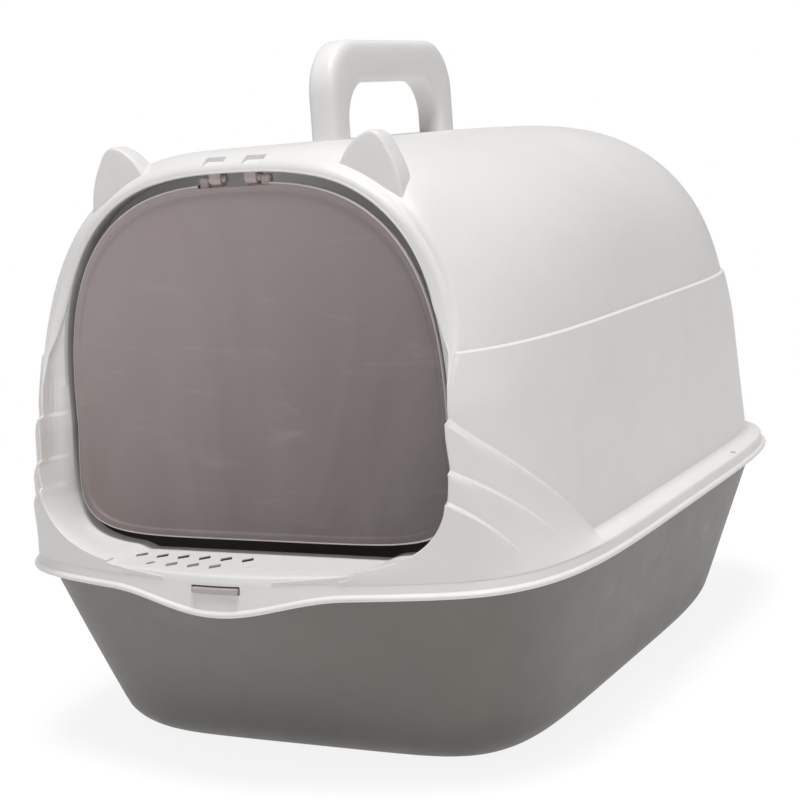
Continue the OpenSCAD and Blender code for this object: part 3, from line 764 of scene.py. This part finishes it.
def roof_cutters():
    """Five pairs of vent slots, the handle's two sockets and the two recesses over the hinge."""
    tools = []
    for i in range(-2, 3):
        for y in (110, 142):
            q = np.radians(np.linspace(0, 360, 24, endpoint=False))
            ends = 10.5 * np.sign(np.sin(q) + 1e-9)
            slot = np.stack([i * 11 + 2.5 * np.cos(q), y + 2.5 * np.sin(q) + ends], -1)
            tools.append(prism(slot, RIDGE_Z - 14, RIDGE_Z + 8))
    for y in HANDLE_FEET:
        tools.append(box(-5.3, 5.3, y - 5.3, y + 5.3, RIDGE_Z - 12, RIDGE_Z + 8))
    for s in (-1, 1):
        tools.append(prism(RECESS, s * 13 - 6.5, s * 13 + 6.5, axis=0))
    return mesh_of(tools)


dome = carve(build_dome(), roof_cutters())
piece("hood_dome", dome, hood_white.material, "hood", "hood", 38)

# ---- Hood: skirt, ledge and entry step ----


def build_skirt():
    """A closed profile carried round the rim.

    It is the bead, the band, the ledge up to the wall's foot, and in front the entry step back to the door.
    """
    band = grow(RIM, SKIRT_OUT)
    x = np.abs(ring(RIM, RIM_N, 0)[:, 0])
    door = (smooth((128 - x) / 16) * (np.cos(ROUND) > 0))[:, None]
    bead_c = grow(RIM, BEAD - 1.6)
    round_bead = []
    for q in np.radians(np.linspace(0, 150, 11)):
        reach, z = grow(bead_c, 1.6 * math.sin(q)), SKIRT_Z + 1.6 - 1.6 * math.cos(q)
        round_bead.append(ring(reach, RIM_N, z, nose=1, dip=1))
    wall_foot = ring(grow(WALL, -1.3), WALL_N, FOOT_Z + 1)
    back = wall_foot.copy()
    back[:, 1], back[:, 2] = FRAME_Y, SILL_Z - 2
    back[:, 0] = np.clip(back[:, 0], -118, 118)
    step_reach, lip_reach = (WALL[0] + 3.7, RIM[1] + 1.6, WALL[2] + 4), (WALL[0] + 1, WALL[1] - 0.5, WALL[2] + 1)
    step_edge = ring(step_reach, RIM_N, BAND_Z + 2, SILL_Z - 0.2, nose=1)
    lip = ring(lip_reach, WALL_N, BAND_Z + 3.3, SILL_Z - 0.1, nose=0.2)
    lip[:, 2] = mix(lip[:, 2], np.minimum(lip[:, 2], SILL_Z), door[:, 0])
    top = rounded([ring(grow(bead_c, 0.4), RIM_N, SKIRT_Z + 3.0, nose=1, dip=1),
                   ring(band, RIM_N, SKIRT_Z + 3.6, nose=1, dip=1),
                   ring(grow(band, -0.6), RIM_N, BAND_Z, nose=1),
                   step_edge, lip, mix(wall_foot, back, door)], [0, 0.5, 1.6, 1.5, 2, 0], 7)
    extra = [mix(top[-2], top[-1], f) for f in (0.35, 0.7)]
    under_back = back - [0, 0, HOOD_T]
    foot_in = ring(grow(WALL, -1.3), WALL_N, LEDGE_Z)
    under_step = ring(grow(WALL, -14), WALL_N, SILL_Z - HOOD_T)
    inner = [mix(foot_in, under_back, door),
             mix(ring(grow(WALL, -1.0), WALL_N, LEDGE_Z), under_step, door),
             ring(grow(RIM, SKIRT_IN), RIM_N, LEDGE_Z, nose=1),
             ring(grow(RIM, SKIRT_IN), RIM_N, SKIRT_Z, nose=1, dip=1)]
    rows = np.array(round_bead + list(top[1:-1]) + extra + [top[-1]] + inner + [round_bead[0]])
    return mesh_of([(rows, True)])


def diamonds():
    """Diamond holes through the step, left, and the same diamonds sunk in it, right."""
    tools = []
    square = np.array([(1, 0), (0, HOLE_LONG), (-1, 0), (0, -HOLE_LONG)]) / 2
    for y, count, first in ((-228, 6, -2), (-247, 4, -12)):
        for i in range(count):
            x = first - HOLE_PITCH * i
            w = HOLE_W * (0.7 if count == 4 and i == 3 else 1)
            tools.append(prism(square * w + (x, y), SILL_Z - 12, SILL_Z + 6))
            if -70 < x < -6:
                tools.append(prism(square * w + (-x, y), SILL_Z - 0.7, SILL_Z + 6))
    return tools


def step_cutters():
    """The diamonds, the catch's window, and small windows in the skirt's sides and the ledge."""
    tools = diamonds()
    tools.append(box(-15.5, 15.5, NOSE_TIP - 6.5, NOSE_TIP + 0.4, RIM_Z - 3.9, RIM_Z + 0.8))
    for s in (-1, 1):
        xs = sorted((s * (RIM[0] + 1.4), s * (RIM[0] + 8)))
        tools.append(box(xs[0], xs[1], -170, -160, SKIRT_Z + 3.2, SKIRT_Z + 5.6))
        xs = sorted((s * 176.2, s * 179.5))
        tools.append(box(xs[0], xs[1], 115, 121, LEDGE_Z + 1, LEDGE_Z + 9))
    return mesh_of(tools)


# Under the open diamonds the step is hollowed first, so that they go right through it
HOLLOW = [(8, -217), (-84, -217), (-84, -240), (-62, -240), (-62, -254), (8, -254)]
skirt = carve(build_skirt(), mesh_of([prism(HOLLOW, 119, 126.2)]))
skirt = carve(skirt, step_cutters())
piece("hood_skirt", skirt, hood_white.material, "hood", "hood", 40)

# ---- Hood: the tunnel round the door ----


def build_tunnel():
    """A closed profile carried round the opening.

    The tunnel runs from behind the door to the skin, flared, and ends in a small round lip.
    """
    phi = np.radians(np.concatenate([
        np.linspace(-90, -62, 12, endpoint=False), np.linspace(-62, -15, 60, endpoint=False),
        np.linspace(-15, 22, 90, endpoint=False), np.linspace(22, 90, 44)]))
    phi = np.concatenate([phi, np.pi - phi[-2:0:-1]])
    x0, z0 = arch(phi)
    under = np.sin(phi) < 0
    front, room = mouth(phi)
    short = smooth((72 - np.abs(x0)) / 8) * under
    front = mix(front, np.maximum(front, -212), short)
    out = 0.35 * smooth((z0 - 215) / 40)
    sink = 3.2 * smooth((88 - np.abs(x0)) / 14) * under
    hang = sag(x0) * ~under

    def station(offset, y, share):
        """The tunnel's outline offset mm outside, at y, with a share of the flare."""
        x, z = arch(phi, offset, offset, offset, FLARE * share)
        return np.stack([x, y + 0 * x, z - sink - (hang if offset == 0 else 0)], -1)

    def edge(offset, y):
        """The same outline where it meets the skin."""
        x, z = mouth_line(phi, offset, room)
        return np.stack([x, y + 0 * x, z - sink], -1)

    bend = np.maximum(front + LIP, np.minimum(-224, front + 6))
    deep = np.where(bend > -217.5, bend + 1, -217.5)
    rows = [station(0, FRAME_Y, 0.0), station(0, np.maximum(deep, -213), 0.0), station(0, deep, 0.0)]
    for f in (0.33, 0.66, 1):
        y = mix(deep, bend, f)
        rows.append(mix(station(0, y, room * smooth(f)), edge(0, y), smooth(f)))
    for q in np.radians(np.linspace(0, 180, 9)):
        rows.append(edge(LIP - LIP * math.cos(q), front - out + LIP - LIP * math.sin(q)))
    rows += [edge(2 * LIP, front + 3), station(HOOD_T, np.maximum(front + 5, -215.5), 0.0),
             station(HOOD_T, FRAME_Y, 0.0), rows[0]]
    return carve(mesh_of([(np.array(rows), True)]), mesh_of(diamonds()))


piece("hood_tunnel", build_tunnel(), tunnel_white.material, "hood", "hood", 45)

# ---- Hood: ears ----


# An ear's sections: place, scale and how far each is let down
EAR_STATIONS = [(-207.5, 0, 0), (-207.5, 0.5, 0), (-207.5, 0.9, 0), (-207.4, 0.95, 0), (-206.9, 0.98, 0),
                (-206, 0.996, 0), (-204.8, 1, 0), (-196, 1, 0), (-193.5, 0.985, 0.3), (-191.5, 0.95, 1.2),
                (-189.5, 0.9, 2.8), (-187, 0.8, 6), (-184, 0.66, 11), (-180, 0.5, 16), (-180, 0, 16)]


def build_ear(side):
    """A rounded wedge: a peaked outline with turned corners, carried back along y while it shrinks."""
    keys = np.array([(80, 318), (102, 320), (99.5, 341), (87.5, 364.8), (71.5, 357.5), (56, 334), (80, 318)])
    line = rounded(keys, [0, 2, 9, 11, 9, 4, 0], 9)
    seg = np.r_[0, np.cumsum(np.linalg.norm(np.diff(line, axis=0), axis=1))]
    at = np.linspace(0, seg[-1], 109)[:-1]
    line = np.stack([np.interp(at, seg, line[:, 0]), np.interp(at, seg, line[:, 1])], -1)
    hub = np.array([81, 338])
    rows = []
    for y, s, drop in EAR_STATIONS:
        flat = hub + (line - hub) * s
        rows.append(np.stack([side * flat[:, 0], np.full(len(flat), y), flat[:, 1] - drop], -1))
    return mesh_of([(np.array(rows), True)])


def build_core():
    """The hood's hollow, its wall taken at half thickness.

    Each level is a loop of both halves, straight across the opening.
    """
    half = dome_half(HOOD_T / 2, False)
    half[-1, :, 0] = 0
    loops = np.concatenate([half, (half * np.array([-1, 1, 1]))[:, ::-1]], axis=1)
    foot = loops[:1] * 0 + loops[0].mean(0)
    return mesh_of([(np.concatenate([foot, loops]), True)])


for ear_name, ear_side in (("ear_left", -1), ("ear_right", 1)):
    ear = carve(build_ear(ear_side), build_core())
    piece(ear_name, ear, hood_white.material, "hood", "hood", 40)

# ---- Carry handle ----


def build_handle():
    """A rounded section carried over an arch: each section spans from the grasp's curve to the outer curve."""
    top = RIDGE_Z - 0.35
    y_mid, half, high = sum(HANDLE_FEET) / 2, 85.5, 60.6

    def arch_line(half, high, r):
        """Points up one leg, round a corner of radius r, over the top and down again."""
        q = np.radians(np.linspace(0, 90, 16))
        up = np.stack([np.full(9, half), np.linspace(0, high - r, 10)[:-1]], -1)
        turn = np.stack([half - r + r * np.cos(q), high - r + r * np.sin(q)], -1)
        over = np.stack([np.linspace(half - r, 0, 9)[1:], np.full(8, high)], -1)
        right = np.concatenate([up, turn, over])
        return np.concatenate([right, (right * [-1, 1])[-2::-1]])

    outer, inner = arch_line(half, high, 32), arch_line(half - 22, high - 26, 27)
    middle, reach = (outer + inner) / 2, (outer - inner) / 2
    c = np.radians(np.linspace(0, 360, 33)[:-1])
    n = 4.2
    cx = 9.5 * np.sign(np.cos(c)) * np.abs(np.cos(c)) ** (2 / n)
    cr = np.sign(np.sin(c)) * np.abs(np.sin(c)) ** (2 / n)
    pts = middle[:, None, :] + reach[:, None, :] * cr[None, :, None]
    grid = np.stack([np.broadcast_to(cx, pts.shape[:2]), y_mid + pts[..., 0], top + pts[..., 1]], -1)
    sink = grid[[0, -1]] - [0, 0, 1.5]
    flat = [sink[0] * 0 + sink[0].mean(0), sink[1] * 0 + sink[1].mean(0)]
    grid = np.concatenate([[flat[0]], sink[:1], grid, sink[1:], [flat[1]]])
    grids = [(grid, True)]
    for y in HANDLE_FEET:
        grids.append(rounded_box((-5, y - 5, top - 7), (5, y + 5, top + 1), 0.4))
        grids.append(rounded_box((-6.4, y - 4.9, top - 7), (6.4, y + 4.9, top - 3.1), 0.5))
    return mesh_of(grids)


piece("carry_handle_grip", build_handle(), handle_white.material, "hood", "carry_handle", 50)

# ---- Swing door ----


def loop(inset, y, s=1.0):
    """The door's outline drawn in by inset mm, at y, and scaled by s about its middle."""
    phi = np.radians(np.linspace(-90, 270, 241)[:-1])
    x, z = arch(phi, -3.3 - inset, -6.2 - inset, -6.4 - inset)
    return np.stack([x * s, y + 0 * x, CROWN_Z + (z - CROWN_Z) * s], -1)


def door_notch():
    """The notch in the door's top that the hood's hooks stand in."""
    return mesh_of([box(-23, 23, PANEL_Y - 6, PANEL_Y + 8, AXIS_Z - 4.56, AXIS_Z + 16)])


def build_edge():
    """A closed profile carried round the door's outline: the edge, coloured pale as a painted highlight where the
    clear sheet's glossy edge catches the light.
    """
    profile = [(1.3, BACK_Y - 0.6), (0.5, BACK_Y + 0.08), (-0.1, BACK_Y - 0.45), (-0.12, BAND_Y + 0.9),
               (0.05, BAND_Y + 0.45), (0.45, BAND_Y + 0.08), (0.8, BAND_Y - 0.05), (1.3, BAND_Y + 0.5)]
    rows = [loop(inset, y) for inset, y in profile]
    return carve(mesh_of([(np.array(rows + [rows[0]]), True)]), door_notch())


def build_door():
    """Rings that shrink from the door's outline to its middle.

    They make a rounded edge, a raised band and a slightly crowned panel.
    """
    profile = [(0, BACK_Y - 0.5), (0, BAND_Y + 0.9), (0.15, BAND_Y + 0.45), (0.5, BAND_Y + 0.12),
               (1.0, BAND_Y), (3.0, BAND_Y), (3.6, BAND_Y + 0.1), (4.0, BAND_Y + 0.35),
               (4.3, BAND_Y + 0.9), (4.7, PANEL_Y - 0.12), (5.4, PANEL_Y)]
    front = [loop(inset, y) for inset, y in profile]

    def crown(s):
        return PANEL_Y - 0.9 * (1 - s ** 2)

    front += [loop(5.4, crown(s), s) for s in (0.97, 0.9, 0.8, 0.65, 0.5, 0.3, 0.15, 0)]
    rear = [loop(5.4, crown(s) + 2.4, s) for s in (0, 0.3, 0.6, 0.85)]
    rear += [loop(5.4, BACK_Y, 1), loop(0.5, BACK_Y), loop(0, BACK_Y - 0.5)]
    return carve(mesh_of([(np.array(front), True), (np.array(rear), True)]), door_notch())


def build_lugs():
    """Two lugs that rise from the panel beside the notch, and their pins."""
    grids = []
    q = np.radians(np.linspace(0, 360, 33)[:-1])
    for s in (-1, 1):
        left, right = sorted((s * LUG_IN, s * LUG_OUT))
        low, high = (left, AXIS_Y - 2.5, AXIS_Z - 9), (right, AXIS_Y + 2.5, AXIS_Z + 1.5)
        grids.append(rounded_box(low, high, 1.4))
        left, right = sorted((s * PIN_IN, s * (LUG_IN + 0.3)))
        pin = [(left, 0), (left, 2.0), (left + 0.4, PIN_R), (right - 0.4, PIN_R), (right, 2.0), (right, 0)]
        rings = [np.stack([0 * q + x, AXIS_Y + r * np.cos(q), AXIS_Z + r * np.sin(q)], -1) for x, r in pin]
        grids.append((np.array(rings), True))
    return mesh_of(grids)


piece("door_panel", build_door(), door_finish.material, "door", "swing_door", 40)
# The edge's pale colour is a painted highlight
piece("door_edge", build_edge(), painted_highlight_finish.material, "door", "swing_door", 40)
piece("door_hinge_lugs", build_lugs(), pink_finish.material, "door", "swing_door", 50)

# ---- Catch, and the CAD nodes that keep their shape ----

low, high = (-14.6, NOSE_TIP - 4.6, TOP_Z - 0.4), (14.6, NOSE_TIP + 1.5, RIM_Z - 0.2)
catch = mesh_of([rounded_box(low, high, 0.6)])
piece("catch_tongue", catch, catch_grey.material, "tray", "front_catch")

for name, finish in (("hinge_hooks", pink_finish), ("filter_cover", hood_white), ("carbon_filter", felt_finish)):
    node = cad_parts[name]
    node.data.materials.clear()
    node.data.materials.append(finish.material)

# ---- Camera ----

IMAGE, SENSOR, FOCAL = 800, 36, 1842
AZIMUTH, ELEVATION, ROLL = np.radians((27.14, 8.64, -4.08))


def aimed(x, y, z, place):
    """The matrix that puts an object with axes x, y and z at a place."""
    return Matrix([(*row, t) for row, t in zip(np.stack([x, y, z], 1), place)] + [(0, 0, 0, 1)])


ahead = np.array([-math.sin(AZIMUTH) * math.cos(ELEVATION), math.cos(AZIMUTH) * math.cos(ELEVATION),
                  -math.sin(ELEVATION)])
right = np.array([math.cos(AZIMUTH), math.sin(AZIMUTH), 0])
up = np.cross(right, ahead)
turned = math.cos(ROLL) * right + math.sin(ROLL) * up
upright = -math.sin(ROLL) * right + math.cos(ROLL) * up
lens = bpy.data.cameras.new("camera")
lens.sensor_width, lens.lens, lens.clip_start = SENSOR, SENSOR * FOCAL / IMAGE, 0.01
eye = bpy.data.objects.new("camera", lens)
eye.matrix_world = aimed(turned, upright, -ahead, (0.5437, -1.0905, 0.3664))
bpy.context.scene.collection.objects.link(eye)
bpy.context.scene.camera = eye

# ---- Floor, light and backdrop ----


floor_mesh = bpy.data.meshes.new("floor")
floor_mesh.from_pydata([(-6, -6, 0), (6, -6, 0), (6, 6, 0), (-6, 6, 0)], [], [(0, 1, 2, 3)])
f = Finish("floor_pale", Roughness=0.9, Specular_IOR_Level=0.1)
f.feed("Base Color", f.blend(f.noise(2.5, 3), (0.93, 0.93, 0.93), (0.95, 0.95, 0.95)))

# Camera and mirror rays see the floor fade to white away from the object; the rest see a plain pale floor
rays = f.node("ShaderNodeLightPath", {})
glossy = Tone(f, rays.socket.node.outputs["Is Glossy Ray"])
seen = f.node("ShaderNodeMath", {"operation": "MAXIMUM"}, rays, glossy)
soft = f.node("ShaderNodeAddShader", {}, f.node("ShaderNodeBsdfDiffuse", {}, (0.15, 0.15, 0.15, 1)),
              f.node("ShaderNodeEmission", {}, (0.87, 0.87, 0.87, 1)))
away = f.node("ShaderNodeVectorMath", {"operation": "LENGTH"}, f.place, out="Value")
white = f.node("ShaderNodeEmission", {}, (1, 1, 1, 1))
plain = f.node("ShaderNodeMixShader", {}, f.ramp(away, 0.45, 1.2), soft, white)
final = f.node("ShaderNodeMixShader", {}, seen, Tone(f, f.shader.outputs[0]), plain)
f.tree.links.new(final.socket, f.tree.nodes["Material Output"].inputs["Surface"])
floor = bpy.data.objects.new("floor", floor_mesh)
floor_mesh.materials.append(f.material)
bpy.context.scene.collection.objects.link(floor)

world = bpy.data.worlds.new("studio")
bpy.context.scene.world = world
world.use_nodes = True
tree = world.node_tree

# Seen straight or through the door the surround is white; as a light it is dimmer
sky, backdrop = tree.nodes["Background"], tree.nodes.new("ShaderNodeBackground")
for shader, strength in ((sky, 0.34), (backdrop, 1.0)):
    shader.inputs[0].default_value, shader.inputs[1].default_value = (1, 1, 1, 1), strength
path, pick = tree.nodes.new("ShaderNodeLightPath"), tree.nodes.new("ShaderNodeMixShader")
either = tree.nodes.new("ShaderNodeMath")
either.operation = "MAXIMUM"
for source, target in ((path.outputs["Is Camera Ray"], either.inputs[0]),
                       (path.outputs["Is Transmission Ray"], either.inputs[1]),
                       (either.outputs[0], pick.inputs[0]), (sky.outputs[0], pick.inputs[1]),
                       (backdrop.outputs[0], pick.inputs[2]),
                       (pick.outputs[0], tree.nodes["World Output"].inputs["Surface"])):
    tree.links.new(source, target)


def lamp(name, place, aim, size, watts):
    """A round area lamp at a place, aimed at a point."""
    light = bpy.data.lights.new(name, "AREA")
    light.shape, light.size, light.energy = "DISK", size, watts
    obj = bpy.data.objects.new(name, light)
    z = np.array(place, float) - np.array(aim, float)
    z /= np.linalg.norm(z)
    x = np.cross((0, 1, 0.001), z)
    x /= np.linalg.norm(x)
    obj.matrix_world = aimed(x, np.cross(z, x), z, place)
    bpy.context.scene.collection.objects.link(obj)
    return obj


lamp("overhead", (0.5, -0.9, 3.6), (0, 0, 0.2), 1.3, 106)
# Stands for the light that comes through the hood's thin plastic
lamp("through_the_plastic", (0, 0.03, 0.16), (0, 0.03, 0.4), 0.1, 0.1).visible_camera = False

bpy.context.scene.view_settings.view_transform = "Standard"
